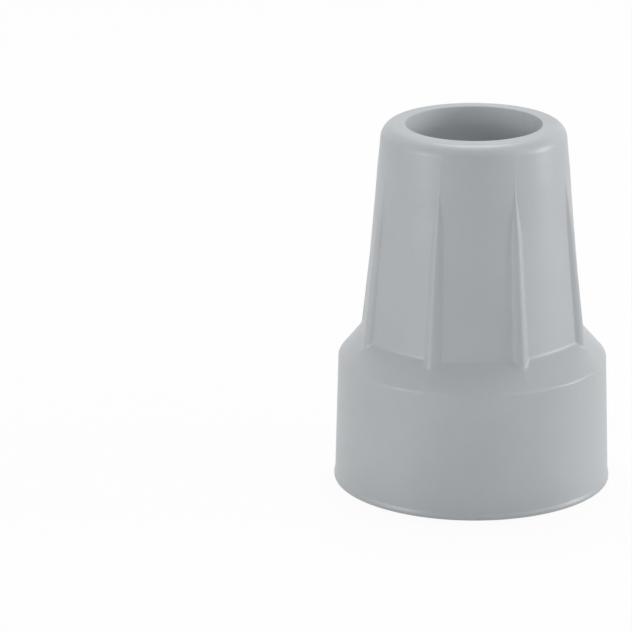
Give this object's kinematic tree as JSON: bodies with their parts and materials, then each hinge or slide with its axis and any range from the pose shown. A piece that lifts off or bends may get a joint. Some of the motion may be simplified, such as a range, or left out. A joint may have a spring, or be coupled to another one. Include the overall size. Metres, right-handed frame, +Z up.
{
  "type": "rubber cane tip",
  "caption": "Moulded rubber tip for a walking cane, with a wide round foot, a ribbed tapering neck, a blind bore and a stepped ring tread.",
  "frame": {"origin": "centre of the base, on the floor that the tip stands on", "axes": "+Z up along the cane's axis, out of the bore's mouth; +X and +Y each run through the middle of a panel between two ribs"},
  "size_m": [0.0402, 0.0402, 0.0528],
  "materials": {
    "rubber": "light grey moulded rubber, satin to matte"
  },
  "bodies": {
    "root": {"cane_tip": "rubber"}
  },
  "joints": []
}
